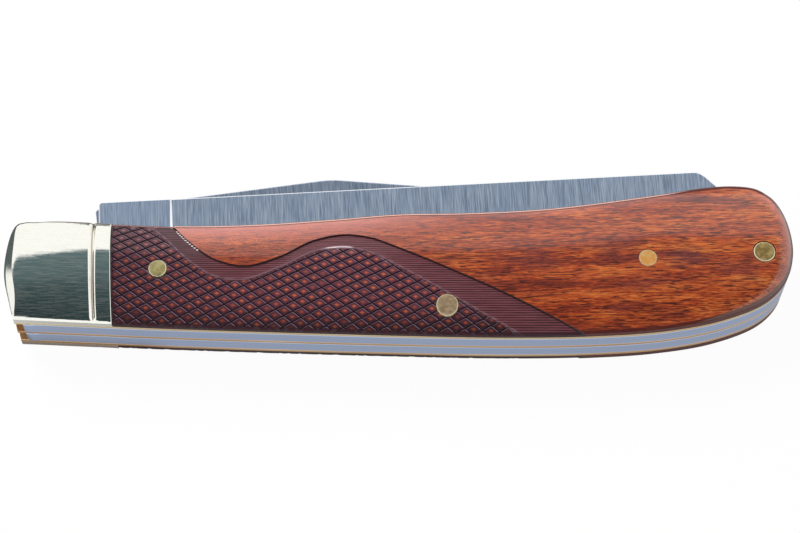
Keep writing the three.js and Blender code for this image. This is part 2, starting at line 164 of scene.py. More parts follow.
# Wood: two numbers are where a change starts and ends, and two more are its values there
# Painted shade: the checkering darkens towards the left end and the bottom edge
CHECK_PAINTED_SHADE = (6.0, 26.0, 0.58, 1.0)
CHECK_LOW_PAINTED_SHADE = (-9.8, -7.0, 0.46, 1.0)
# Worn tips show orange wood, turning into a painted pinkish highlight towards the top
TIP_HIGHLIGHT_TURN = (-1.0, 5.0)
RIB_PITCH = 0.31
BAND_FADE = (15.5, 22.0)
BAND_LIFT = (1.72, 1.36, 1.38, 1)
GLINT_REACH = (15.1, 18.3)
# A painted highlight on the checkering's border, strongest at its crest
CREST_HIGHLIGHT_PLACE = 36.9
CREST_HIGHLIGHT_REACH = 2.5
WOOD_TURN = math.radians(-1.5)
WOOD_DRIFT = (74.0, 92.0, -0.01, 0.03)
# Towards the bolster the grain is evened out, a painted sheen that washes it out
SHEEN_ZONE = (60.0, 36.0, 0.0, 0.4)
SHEEN_ZONE_TONE = 0.524
STAIN_PLACE = (83.0, -0.4)
STAIN_REACH = (5.0, 2.2)
# A painted pinkish sheen near the rim at the butt, and near the edge towards the bolster
RIM_SHEEN = (1.8, 0.3, 0.0, 0.45)
SHEEN_ZONE_EDGE = (4.0, 0.3, 0.0, 1.5)
BUTT_SHEEN = (88.0, 95.0, 0.4, 1.0)
LOW_SHEEN = (-5.5, 0.5, 0.1, 1.0)
LOW_POLISH = (-9.5, -4.0, 0.6, 1.0)
# A painted highlight line along the top edge's bevel, fading out towards the butt
TOP_HIGHLIGHT_END = (78.0, 88.0)
ON_TOP_HIGHLIGHT = 0.02

# Pins: an end is its dome's height and its bevel's width
PIN_SIDES = 48
PIN_GAP = 0.04
FLUSH_GAP = 0.006
COUNTERSINK_GAP = 0.13
PIN_RIM_DROP = 0.7
PIN_RINGS = 4
PIN_CLEAR = 2.5
# How far the painted highlight on a pin's bevel reaches, in bevel widths
PIN_HIGHLIGHT_REACH = 1.6
FLUSH_END = (0.0, FLUSH_RIM)
RIVET_END = (0.04, 0.09)
REAR_END = (0.1, 0.12)

# Blades, in their own frames: X along the blade from the pivot, Y towards its spine
SPINE_FROM_PIVOT = 8.96
EDGE_FROM_PIVOT = 4.3
SPINE_THICKNESS = 2.1
EDGE_THICKNESS = 0.3
TANG_THICKNESS = 2.3
PLUNGE = 14.5
PLUNGE_WIDTH = 0.24
PLUNGE_FLARE = 0.05
PLUNGE_LINES = (-0.6, -0.5, -0.25, 0, 0.25, 0.5, 0.6)
PLUNGE_SPACING = 0.4
BLADE_RIM = 0.14
EDGE_RIM = 0.06
BLADE_RIM_FROM = 5.0
BLADE_RIM_DROP = 0.4
BLADE_LINE_CLEAR = 1.3 * BLADE_RIM
BLADE_POINT_CLEAR = 2 * BLADE_RIM
BLADE_REACH = ((-10, -10), (100, 10))
BLADE_SPACING = 1.2
NICK_WHEEL = 23.0
NICK_DEPTH = 0.5
NICK_HEIGHT = 1.9
NICK_BELOW_SPINE = 0.8
NICK_BASE = SPINE_FROM_PIVOT - NICK_BELOW_SPINE - NICK_HEIGHT
NICK_SLOPE = math.tan(math.radians(10))
NICK_MARGIN = (0.4, 0.1)
NICK_SPACING = 0.12

# Light: a tent with a dark opening, a lamp, and the floor as polished metal shows it
OPENING_LEAN = math.radians(6)
OPENING_HALF = math.radians(39)
OPENING_EDGE = math.radians(0.8)
OPENING_TONES = (-0.6, 0.54)
TENT_WHITE = (1.0, 1.0, 0.985, 1)
SOFT_LIGHT = 0.6
FLOOR_REACH = 3000.0
FLOOR_GAP = 0.02
FLOOR_GLOW = 0.96
PAPER = (0.8, 0.8, 0.8, 1)
BLACK = (0, 0, 0, 1)
WHITE = (1, 1, 1, 1)
CARD_WHITE = (0.95, 0.95, 0.94, 1)
CARD_MIDDLE = (45.0, 0.0, 0.0)
CARD_REACH = (60.0, 20.0)
CARD_FADE = 1.3
ROUND_CARD = (0.46, 0.46, 0.46, 1)
BEHIND = (0.07, 0.09, 0.09, 1)
BEHIND_SIDE = (7.5, 10.0)
BEHIND_FRONT = (-9.0, -12.0)
CONTACT = (0.2, 0.165, 0.15, 1)
CONTACT_FROM = (-4.0, 6.0)
CONTACT_REACH = (1.6, 1.35)
CONTACT_ENDS = ((-7.6, -7.2), (14.0, 10.0))


# Outlines and distances, in millimetres


def node_box(node):
    low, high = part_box(node)
    return np.array(low) / MM, np.array(high) / MM


def middle_height(node):
    low, high = node_box(node)
    return (low[2] + high[2]) / 2


def section(node):
    """The closed outlines of a CAD node at its middle height, the longest first."""
    cut = bmesh.new()
    cut.from_mesh(frame["nodes"][node].data)
    bmesh.ops.remove_doubles(cut, verts=cut.verts, dist=SAME_POINT * MM)
    bmesh.ops.bisect_plane(
        cut,
        geom=[*cut.verts, *cut.edges, *cut.faces],
        plane_co=(0, 0, middle_height(node) * MM),
        plane_no=(0, 0, 1),
        clear_inner=True,
        clear_outer=True,
    )
    loops = []
    done = set()
    for start in cut.verts:
        if start in done:
            continue
        loop = [start]
        edge = start.link_edges[0]
        vert = edge.other_vert(start)
        while vert != start:
            loop.append(vert)
            edge = next(e for e in vert.link_edges if e != edge)
            vert = edge.other_vert(vert)
        done.update(loop)
        loops.append(np.array([v.co.xy for v in loop], float) / MM)
    cut.free()
    return sorted(loops, key=perimeter, reverse=True)


def perimeter(loop):
    return np.linalg.norm(np.roll(loop, -1, 0) - loop, axis=1).sum()


def anticlockwise(loop):
    after = np.roll(loop, -1, 0)
    area = 0.5 * np.sum(loop[:, 0] * after[:, 1] - loop[:, 1] * after[:, 0])
    return loop if area > 0 else loop[::-1]


def turns(loop):
    """How far the outline turns at each point, in radians."""
    into = loop - np.roll(loop, 1, 0)
    out = np.roll(loop, -1, 0) - loop
    cross = into[:, 0] * out[:, 1] - into[:, 1] * out[:, 0]
    return np.arctan2(cross, np.sum(into * out, axis=1))


def turned(points, angle):
    c, s = math.cos(angle), math.sin(angle)
    return points @ np.array([[c, s], [-s, c]])


def left_of(ways):
    """Directions of unit length, square to the given ones and on their left."""
    ways = ways / np.linalg.norm(ways, axis=1)[:, None]
    return np.column_stack([-ways[:, 1], ways[:, 0]])


def curve_through(points, spacing=OUTLINE_SPACING):
    """A smooth line through points, which keeps steps over STRAIGHT_OVER straight."""
    points = np.asarray(points, float)
    step = np.linalg.norm(np.diff(points, axis=0), axis=1)
    way = np.diff(points, axis=0) / step[:, None]
    slope = np.empty_like(points)
    slope[1:-1] = way[:-1] * step[1:, None] + way[1:] * step[:-1, None]
    slope[1:-1] /= (step[1:] + step[:-1])[:, None]
    slope[0] = 2 * way[0] - slope[1] if len(points) > 2 else way[0]
    slope[-1] = 2 * way[-1] - slope[-2] if len(points) > 2 else way[-1]
    line = []
    for i, length in enumerate(step):
        t = np.linspace(0, 1, max(1, math.ceil(length / spacing)), endpoint=False)[:, None]
        if length > STRAIGHT_OVER:
            line.append(points[i] + t * (points[i + 1] - points[i]))
            continue
        line.append(
            (2 * t**3 - 3 * t**2 + 1) * points[i]
            + (t**3 - 2 * t**2 + t) * length * slope[i]
            + (3 * t**2 - 2 * t**3) * points[i + 1]
            + (t**3 - t**2) * length * slope[i + 1]
        )
    return np.vstack([*line, points[-1:]])


def smooth_loop(loop):
    """An anticlockwise outline, drawn through a faceted one and sharp at its corners."""
    loop = anticlockwise(loop)
    loop = loop[np.abs(turns(loop)) > STRAIGHT_TURN]
    corners = np.flatnonzero(np.abs(turns(loop)) > CORNER_TURN)
    start = corners[0] if len(corners) else 0
    loop = np.roll(loop, -start, 0)
    closed = np.vstack([loop, loop[:1]])
    stops = [*(corners - start), len(loop)] if len(corners) else [0, len(loop)]
    return np.vstack([curve_through(closed[a:b + 1])[:-1] for a, b in zip(stops, stops[1:])])


def circle(centre, radius):
    angle = np.linspace(0, 2 * np.pi, PIN_SIDES, endpoint=False)
    return np.array(centre) + radius * np.column_stack([np.cos(angle), np.sin(angle)])


def inset(loop, widths):
    """The outline moved towards its left, which is where its material lies."""
    normal = left_of(np.roll(loop, -1, 0) - loop)
    both = normal + np.roll(normal, 1, 0)
    lengths = widths / np.maximum(np.sum(both * normal, axis=1), SHARPEST)
    return loop + lengths[:, None] * both


def in_chunks(points, measure):
    """A measure of each point, worked out for some of them at a time to save memory."""
    starts = range(0, max(len(points), 1), CHUNK)
    return np.concatenate([measure(points[start:start + CHUNK]) for start in starts])


def distance(points, line, closed=True):
    """Distance of each point from a line."""
    start = line if closed else line[:-1]
    way = np.roll(line, -1, 0) - line if closed else np.diff(line, axis=0)
    square = np.sum(way * way, axis=1)

    def measure(part):
        off = part[:, None] - start
        share = np.clip(np.sum(off * way, axis=2) / square, 0, 1)
        off -= share[..., None] * way
        return np.sqrt(np.min(np.sum(off * off, axis=2), axis=1))

    return in_chunks(points, measure)


def inside(points, loop):
    """Whether each point lies inside an outline."""
    after = np.roll(loop, -1, 0)
    rise = np.where(after[:, 1] == loop[:, 1], 1, after[:, 1] - loop[:, 1])

    def measure(part):
        x, y = part[:, 0, None], part[:, 1, None]
        spans = (loop[:, 1] > y) != (after[:, 1] > y)
        cross = loop[:, 0] + (y - loop[:, 1]) * (after[:, 0] - loop[:, 0]) / rise
        return np.sum(spans & (x < cross), axis=1) % 2 == 1

    return in_chunks(points, measure)


def grid(low, high, spacing):
    """Points in offset rows over a rectangle."""
    rows = np.arange(low[1], high[1], spacing * math.sqrt(0.75))
    columns = np.arange(low[0], high[0], spacing)
    x, y = np.meshgrid(columns, rows)
    x[1::2] += spacing / 2
    return np.column_stack([x.ravel(), y.ravel()])


def smooth_step(value, low, high):
    t = np.clip((value - low) / (high - low), 0, 1)
    return t * t * (3 - 2 * t)


def in_material(points, loops, gap):
    """Whether each point lies in the material, with a gap to its rims."""
    result = inside(points, loops[0])
    for hole in loops[1:]:
        result &= ~inside(points, hole[::-1])
    for loop in loops:
        result &= distance(points, loop) > gap
    return result


def clear_of(points, loops, gap):
    """The points that lie in the material."""
    return points[in_material(points, loops, gap)]


def lines_clear_of(lines, loops, gap):
    """The stretches of the lines that lie in the material."""
    kept = []
    for line in lines:
        clear = in_material(line, loops, gap)
        changes = np.flatnonzero(clear[1:] != clear[:-1]) + 1
        for stretch in np.split(np.arange(len(line)), changes):
            if clear[stretch[0]] and len(stretch) > 1:
                kept.append(line[stretch])
    return kept


def rows_inside(loop, rows):
    """Rows of points along an outline, each at its distance from it."""
    lines = []
    for row in rows:
        line = inset(loop, np.full(len(loop), row))
        lines.append(line[distance(line, loop) > row * ROW_TOLERANCE])
    return np.vstack(lines)


# Closed bodies between two surfaces


def triangulate(loops, lines, extra):
    """Triangles between an outline and its holes, with edges along all the lines."""
    points = np.vstack([*loops, *lines, extra])
    edges = []
    first = 0
    for loop in loops:
        last = first + len(loop)
        edges += [(i, i + 1 if i + 1 < last else first) for i in range(first, last)]
        first = last
    for line in lines:
        last = first + len(line)
        edges += [(i, i + 1) for i in range(first, last - 1)]
        first = last
    result = delaunay_2d_cdt([Vector(p) for p in points], edges, [], 2, CROSSING)
    if len(result[0]) != len(points):
        raise ValueError("two lines cross or two points coincide")
    order = np.array([ids[0] for ids in result[3]])
    faces = order[np.array(result[2])]
    centres = points[faces].mean(axis=1)
    kept = inside(centres, loops[0])
    for hole in loops[1:]:
        kept &= ~inside(centres, hole)
    return points, faces[kept].tolist()


def slab(loops, low, high, rims, low_extra=NO_POINTS, high_extra=NO_POINTS, high_lines=(),
         low_rim=None, drop=1.0):
    """Points and faces of a closed body with bevelled rims. loops are its outline and holes, with
    the material on their left; low and high give the two surfaces' heights; rims has a bevel's
    width for each loop, or a width for each of its points, and low_rim another width for all
    bevels on the low side. A bevel falls by drop for each millimetre of its width."""
    rims = [np.broadcast_to(rim, len(loop)) for loop, rim in zip(loops, rims)]
    low_rims = rims if low_rim is None else [np.full(len(loop), low_rim) for loop in loops]
    inner = [inset(loop, rim) for loop, rim in zip(loops, rims)]
    low_inner = [inset(loop, rim) for loop, rim in zip(loops, low_rims)]
    top, top_faces = triangulate(inner, high_lines, high_extra)
    bottom, bottom_faces = triangulate(low_inner, (), low_extra)
    outer = np.vstack(loops)
    rings = [
        np.column_stack([bottom, low(bottom)]),
        np.column_stack([outer, low(np.vstack(low_inner)) + drop * np.concatenate(low_rims)]),
        np.column_stack([outer, high(np.vstack(inner)) - drop * np.concatenate(rims)]),
        np.column_stack([top, high(top)]),
    ]
    start = np.cumsum([0, *[len(ring) for ring in rings]])
    faces = [face[::-1] for face in bottom_faces]
    faces += [[i + start[3] for i in face] for face in top_faces]
    first = 0
    for loop in loops:
        count = len(loop)
        for i in range(count):
            a = first + i
            b = first + (i + 1) % count
            for lower, upper in zip(start, start[1:4]):
                faces.append([a + lower, b + lower, b + upper, a + upper])
        first += count
    return np.vstack(rings), faces


def flat(height):
    """A level surface."""
    return lambda points: np.full(len(points), height)


def mirrored(body):
    """The far side's copy of a body that is drawn for the near side."""
    points, faces = body
    points = points * (1, 1, -1) + (0, 0, KNIFE_THICKNESS)
    return points, [face[::-1] for face in faces]


def add_object(name, data):
    item = bpy.data.objects.new(name, data)
    bpy.context.scene.collection.objects.link(item)
    return item


def make(node, ending, body, material, fields=None, sharp=30):
    """A piece from points in millimetres, which stands for one CAD node. Its edges are sharp over
    the given angle, and fields are the material's attributes, with a value for each point."""
    points, faces = body
    name = f"{node}_{ending}"
    mesh = bpy.data.meshes.new(name)
    mesh.from_pydata((points * MM).tolist(), [], faces)
    for field, values in (fields or {}).items():
        attribute = mesh.attributes.new(field, "FLOAT", "POINT")
        attribute.data.foreach_set("value", values.astype(np.float32))
    mesh.materials.append(material)
    mesh.shade_smooth()
    mesh.set_sharp_from_angle(angle=math.radians(sharp))
    piece = add_object(name, mesh)
    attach(piece, BODIES[node])
    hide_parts(node)


# The covers' outline and crown

cover_low, cover_high = node_box("near_scale")
COVER_BASE = cover_low[2]
KNIFE_THICKNESS = cover_high[2]
CROWN_RISE = KNIFE_THICKNESS - COVER_BASE - EDGE_HEIGHT
HANDLE = smooth_loop(section("near_liner")[0])


def edge_line(part):
    """One long edge of the handle between the crown's ends, from the bolster to the butt."""
    x = HANDLE[:, 0]
    near_ends = (x > CROWN_ENDS[0] - CROWN_MARGIN) & (x < CROWN_ENDS[1] + CROWN_MARGIN)
    line = HANDLE[near_ends & part]
    return line[np.argsort(line[:, 0])]


def front_edge():
    """The handle's short edge at the bolster end."""
    part = HANDLE[HANDLE[:, 0] < CROWN_ENDS[0]]
    return part[np.argsort(part[:, 1])]


BACK_EDGE = edge_line(HANDLE[:, 1] < LONG_EDGES[0])
TOP_EDGE = edge_line(HANDLE[:, 1] > LONG_EDGES[1])
FRONT_EDGE = front_edge()


def side_share(points):
    """Share of the crown's rise between the handle's long edges."""
    x = np.clip(points[:, 0], *CROWN_ENDS)
    back = np.interp(x, *BACK_EDGE.T)
    top = np.interp(x, *TOP_EDGE.T)
    middle = (back + top) / 2 + np.interp(x, *CROWN_LEAN)
    reach = np.where(points[:, 1] > middle, top - middle, middle - back)
    return 1 - np.minimum(np.abs(points[:, 1] - middle) / reach, 1) ** CROWN_POWER


def rounded_share(points):
    """Share of the crown's rise, which falls to nothing all round the handle."""
    depth = distance(points, HANDLE)
    roll = ROLL_SHARE * smooth_step(points[:, 0], *ROLL_START)
    roll *= (1 - np.minimum(depth / ROLL_WIDTH, 1)) ** 2
    share = np.maximum(side_share(points) * (1 - roll), TINY)
    return share * np.tanh(BEVEL_SLOPE * depth / share)


def crown(points):
    """Height of the rounded face above the covers' flat one."""
    facet = distance(points, FRONT_EDGE, closed=False) / FACET_WIDTH
    return EDGE_HEIGHT + CROWN_RISE * np.minimum(rounded_share(points), facet)


def facet_border():
    """The line where the facet at the bolster's end meets the rounded face."""
    outward = left_of(np.gradient(FRONT_EDGE, axis=0))
    width = np.full((len(FRONT_EDGE), 1), FACET_WIDTH)
    for _ in range(FACET_TRIES):
        width = FACET_WIDTH * rounded_share(FRONT_EDGE - width * outward)[:, None]
    return FRONT_EDGE - width * outward


def across(points):
    """Distance of each point from the pivot, square to the bolster's lines."""
    return points[:, 0] * math.cos(BOLSTER_TILT) + points[:, 1] * math.sin(BOLSTER_TILT)


def part_of_handle(keep_below, cut):
    """The handle's outline on one side of the joint line, which lies at the distance cut."""
    side = across(HANDLE) - cut
    kept = side < 0 if keep_below else side > 0
    loop = []
    for i in range(len(HANDLE)):
        after = (i + 1) % len(HANDLE)
        if kept[i]:
            loop.append(HANDLE[i])
        if kept[i] != kept[after]:
            share = side[i] / (side[i] - side[after])
            loop.append(HANDLE[i] + share * (HANDLE[after] - HANDLE[i]))
    loop = np.array(loop)
    beside = np.abs(across(loop) - cut)
    loop = loop[(beside > OUTLINE_SPACING / 2) | (beside < TINY)]
    gap = np.argmax(np.linalg.norm(np.roll(loop, -1, 0) - loop, axis=1))
    loop = np.roll(loop, -gap - 1, 0)
    steps = math.ceil(np.linalg.norm(loop[0] - loop[-1]) / OUTLINE_SPACING)
    share = np.linspace(0, 1, steps + 1)[1:-1, None]
    return np.vstack([loop, loop[-1] + share * (loop[0] - loop[-1])])


BOLSTER_OUTLINE = part_of_handle(True, JOINT - JOINT_GAP / 2)
SCALE_OUTLINE = part_of_handle(False, JOINT + JOINT_GAP / 2)


# Carving


def check_wave(side):
    """Waves per millimetre along X and Y of the grooves of one direction."""
    angle = CHECK_AXIS + side * CHECK_HALF_ANGLE + math.pi / 2
    return math.cos(angle) / CHECK_SPACING, math.sin(angle) / CHECK_SPACING


def border_lines(border, offsets):
    """Lines on both sides of a border of the panel."""
    fine = curve_through(border, OUTLINE_SPACING / 2)
    left = left_of(np.gradient(fine, axis=0))
    return [fine + offset * left for offset in offsets]


def beyond(points, line):
    """Signed distance from a border of the panel, above zero on the bare wood's side."""
    side = np.sign(points[:, 1] - np.interp(points[:, 0], *line.T))
    return side * distance(points, line, closed=False)


BAND_LINE = curve_through(BAND_BORDER)
CHECK_LINE = curve_through(CHECK_BORDER)


def carving(points):
    """Depth of the carving below the crown."""
    band = beyond(points, BAND_LINE)
    check = beyond(points, CHECK_LINE)
    depth = PANEL_SINK * (1 - smooth_step(band, -PANEL_WALL, 0))
    border = np.maximum(1 - np.abs(check) / BORDER_GROOVE, 0)
    lip = np.maximum(1 - np.abs(check - BORDER_GROOVE - LIP_WIDTH / 2) / (LIP_WIDTH / 2), 0)
    shares = []
    for side in (1, -1):
        phase = (points - CHECK_CENTRE) @ np.array(check_wave(side)) + 0.5
        shares.append(1 - np.abs(2 * (phase % 1) - 1))
    nearest = np.minimum(*shares)
    groove = CHECK_DEPTH * (1 - np.minimum(nearest / CHECK_GROOVE, 1))
    dome = CHECK_DOME * np.maximum(nearest - CHECK_GROOVE, 0) / (1 - CHECK_GROOVE)
    diamonds = np.where(check < 0, groove - dome, 0)
    return depth + np.maximum(BORDER_DEPTH * border, diamonds * (1 - border)) - LIP_HEIGHT * lip


def carving_points():
    """Points on the diamonds' grooves and faces, over the whole checkered field."""
    cell = np.linalg.inv(np.array([check_wave(1), check_wave(-1)]))
    steps = np.arange(-CHECK_COUNT * CHECK_STEPS, CHECK_COUNT * CHECK_STEPS)
    i, j = np.meshgrid(steps, steps)
    steps = np.column_stack([i.ravel(), j.ravel()]) / CHECK_STEPS + 0.5
    points = np.array(CHECK_CENTRE) + steps @ cell.T
    points = points[np.all((points > cover_low[:2]) & (points < cover_high[:2]), axis=1)]
    return points[beyond(points, CHECK_LINE) < -CHECK_POINTS_CLEAR]


# Pins: where they are and how wide, from the frame


class Pin:
    def __init__(self, node, gap=PIN_GAP):
        low, high = node_box(node)
        self.node = node
        self.centre = (low[:2] + high[:2]) / 2
        self.radius = (high[0] - low[0]) / 2
        self.low = low[2]
        self.outline = circle(self.centre, self.radius)
        self.hole = circle(self.centre, self.radius + gap)[::-1]


PIVOT = Pin("pivot_pin", FLUSH_GAP)
MIDDLE_PIN = Pin("middle_spring_pin")
REAR_PIN = Pin("rear_spring_pin", COUNTERSINK_GAP)
BOLSTER_RIVET = Pin("near_bolster_rivet", FLUSH_GAP)
FRONT_RIVET = Pin("near_front_rivet")
REAR_RIVET = Pin("near_rear_rivet")
SCALE_PINS = (MIDDLE_PIN, REAR_PIN, FRONT_RIVET, REAR_RIVET)


# Node trees


class Signal:
    """A number that varies over a surface. Sums, products and the calls here add nodes."""

    def __init__(self, graph, socket):
        self.graph = graph
        self.socket = socket

    def __add__(self, other):
        return self.graph.math("ADD", self, other)

    def __sub__(self, other):
        return self.graph.math("SUBTRACT", self, other)

    def __rsub__(self, other):
        return self.graph.math("SUBTRACT", other, self)

    def __mul__(self, other):
        return self.graph.math("MULTIPLY", self, other)

    def __abs__(self):
        return self.graph.math("ABSOLUTE", self)

    def swing(self, top):
        """A value that rises to top, falls to 0 again and so on."""
        return self.graph.math("PINGPONG", self, top)

    def range(self, low, high, to_low=0.0, to_high=1.0, smooth=False):
        """A value from low to high, turned into one from to_low to to_high and held there."""
        return self.graph.signal(
            "ShaderNodeMapRange",
            "Result",
            {"Value": self, 1: low, 2: high, 3: to_low, 4: to_high},
            interpolation_type="SMOOTHSTEP" if smooth else "LINEAR",
        )

    def ramp(self, *stops):
        """The colour between stops, each a value and its colour."""
        node = self.graph.add("ShaderNodeValToRGB", {"Fac": self})
        elements = node.color_ramp.elements
        while len(elements) < len(stops):
            elements.new(1.0)
        for element, (place, shade) in zip(elements, stops):
            element.position = place
            element.color = shade
        return node.outputs["Color"]


class Graph:
    """A material's or the world's node tree, with short calls to add and join nodes."""

    def __init__(self, owner):
        owner.use_nodes = True
        self.owner = owner
        self.tree = owner.node_tree
        self.tree.nodes.clear()

    def add(self, kind, inputs=None, **settings):
        node = self.tree.nodes.new(kind)
        for name, value in settings.items():
            setattr(node, name, value)
        for name, value in (inputs or {}).items():
            self.put(node.inputs[name], value)
        return node

    def put(self, socket, value):
        if isinstance(value, Signal):
            value = value.socket
        elif isinstance(value, bpy.types.Node):
            value = value.outputs[0]
        if isinstance(value, bpy.types.NodeSocket):
            self.tree.links.new(value, socket)
        else:
            socket.default_value = value

    def signal(self, kind, output, inputs=None, **settings):
        return Signal(self, self.add(kind, inputs, **settings).outputs[output])

    def math(self, operation, *values):
        return self.signal("ShaderNodeMath", 0, dict(enumerate(values)), operation=operation)

    def vector_math(self, operation, *values):
        node = self.add("ShaderNodeVectorMath", dict(enumerate(values)), operation=operation)
        if operation in ("DOT_PRODUCT", "LENGTH"):
            return Signal(self, node.outputs["Value"])
        return node.outputs["Vector"]

    def parts(self, vector):
        """X and Y of a vector."""
        node = self.add("ShaderNodeSeparateXYZ", {0: vector})
        return [Signal(self, node.outputs[axis]) for axis in "XY"]

    def place(self, scale=(1, 1, 1), turn=0.0):
        """Object coordinates in millimetres, turned about Z and stretched."""
        turned = self.add("ShaderNodeMapping", {
            "Vector": self.add("ShaderNodeTexCoord").outputs["Object"],
            "Rotation": (0, 0, turn),
            "Scale": (1 / MM,) * 3,
        })
        return self.add("ShaderNodeMapping", {"Vector": turned, "Scale": scale})

    def noise(self, scale, detail=3.0, roughness=0.5, turn=0.0, distortion=0.0):
        """Noise whose grain is 1/scale millimetres along each axis."""
        return self.signal("ShaderNodeTexNoise", "Fac", {
            "Vector": self.place(scale, turn),
            "Scale": 1.0,
            "Detail": detail,
            "Roughness": roughness,
            "Distortion": distortion,
        })

    def mix(self, share, first, second, blend="MIX"):
        node = self.add("ShaderNodeMix", data_type="RGBA", blend_type=blend)
        self.put(node.inputs["Factor"], share)
        self.put(node.inputs[6], first)
        self.put(node.inputs[7], second)
        return node.outputs[2]

    def bump(self, height, depth, **below):
        """A bump of a depth in millimetres, over the normal of one below it."""
        inputs = {"Height": height, "Distance": depth * MM, **below}
        return self.add("ShaderNodeBump", inputs).outputs["Normal"]

    def attribute(self, name):
        return self.signal("ShaderNodeAttribute", "Fac", attribute_name=name)

    def surface(self, **inputs):
        """The material, with a shader whose sockets get the inputs."""
        named = {name.replace("_", " "): value for name, value in inputs.items()}
        shader = self.add("ShaderNodeBsdfPrincipled", named)
        self.add("ShaderNodeOutputMaterial", {"Surface": shader})
        return self.owner


def new_graph(name):
    return Graph(bpy.data.materials.new(name))


def color(red, green, blue):
    """A colour as it is written for the screen, with channels up to 255."""
    linear = (
        c / 12.92 if c <= 0.04045 else ((c + 0.055) / 1.055) ** 2.4
        for c in (red / 255, green / 255, blue / 255)
    )
    return (*linear, 1)


# Metals


def polished_silver():
    """Nickel silver, polished over fine lengthwise scratches."""
    graph = new_graph("polished_nickel_silver")
    scratches = graph.noise((0.45, 8.5, 8.5), roughness=0.65, distortion=0.4)
    waves = graph.noise((0.25, 1.1, 1.1), detail=2)
    clean = graph.mix(scratches.range(0.42, 0.7), color(253, 252, 246), color(240, 240, 231))
    tarnish = graph.attribute("groove").range(0.8, 1.0, 0.0, 0.8, smooth=True)
    return graph.surface(
        Base_Color=graph.mix(tarnish, clean, color(168, 136, 96)),
        Metallic=scratches.range(0.44, 0.64, 1.0, 0.93),
        Roughness=scratches.range(0.4, 0.7, 0.02, 0.07),
        Normal=graph.bump(waves, 0.006, Normal=graph.bump(scratches, 0.004)),
    )


def ground_metal(graph, shade, grain, rough, depth):
    """A metal of one colour or mix, with its grain, the roughness along it and its depth."""
    return graph.surface(
        Base_Color=shade,
        Metallic=1.0,
        Roughness=grain.range(0.3, 0.7, *rough),
        Normal=graph.bump(grain, depth),
    )


def sheet_brass(name, light, dark):
    graph = new_graph(name)
    grain = graph.noise((0.12, 3.0, 9.0), detail=4, roughness=0.65)
    tarnish = graph.noise((0.05, 0.3, 0.6)).range(0.35, 0.7)
    return ground_metal(graph, graph.mix(tarnish, light, dark), grain, (0.22, 0.4), 0.006)


def pin_brass(name, light, dark, rough):
    graph = new_graph(name)
    scratches = graph.noise((0.8, 7.0, 2.0), detail=4, roughness=0.7, turn=math.radians(35))
    spots = graph.noise((1.6, 1.6, 1.6), detail=4, roughness=0.6).range(0.42, 0.59)
    # The bevel round the pin is painted with a pale cream highlight
    rim = graph.attribute("rim").range(0.2, 0.7)
    shade = graph.mix(rim, graph.mix(spots, light, dark), color(255, 244, 208))
    return ground_metal(graph, shade, scratches, (rough - 0.1, rough + 0.1), 0.012)


def spring_steel():
    graph = new_graph("polished_steel")
    grain = graph.noise((0.05, 3.0, 6.0), detail=4, roughness=0.7)
    tone = graph.noise((0.03, 0.3, 0.5), detail=2)
    shade = graph.mix(tone, color(204, 222, 255), color(190, 208, 244))
    return ground_metal(graph, shade, grain, (0.2, 0.36), 0.006)


def satin_steel(name, tilt, shade):
    """Blade steel, ground across the blade. shade is how light it is; below 1 it is painted shade
    over the whole blade.
    """
    graph = new_graph(name)
    fine = graph.noise((12.5, 0.3, 0.3), detail=1, roughness=0.8, turn=-tilt)
    wide = graph.noise((4.0, 0.12, 0.12), detail=1, turn=-tilt)
    tone = graph.noise((0.5, 0.03, 0.03), detail=2, turn=-tilt)
    across_strokes = graph.add(
        "ShaderNodeVectorTransform",
        {0: (math.cos(tilt), math.sin(tilt), 0)},
        vector_type="VECTOR",
        convert_from="OBJECT",
        convert_to="WORLD",
    )
    strokes = fine * 0.84 + wide * 0.1 + tone * 0.06
    ground = strokes.ramp(
        (0.36, color(160, 177, 207)),
        (0.5, color(196, 212, 240)),
        (0.64, color(226, 239, 255)),
    )
    ground = graph.mix(graph.attribute("tang") * 0.3, ground, color(136, 153, 180))
    ground = graph.mix(1.0, ground, (shade, shade, shade, 1), blend="MULTIPLY")
    # The step in front of the tang and the rims are smoother and painted near white: a painted
    # highlight
    bright = graph.attribute("bright").range(0.1, 0.4)
    return graph.surface(
        Base_Color=graph.mix(bright, ground, color(251, 253, 255)),
        Metallic=1.0,
        Roughness=strokes.range(0.38, 0.62, 0.4, 0.56) * bright.range(0, 1, 1.0, 0.4),
        Anisotropic=0.85,
        Tangent=across_strokes,
        Normal=graph.bump(strokes, 0.012),
    )


# Wood


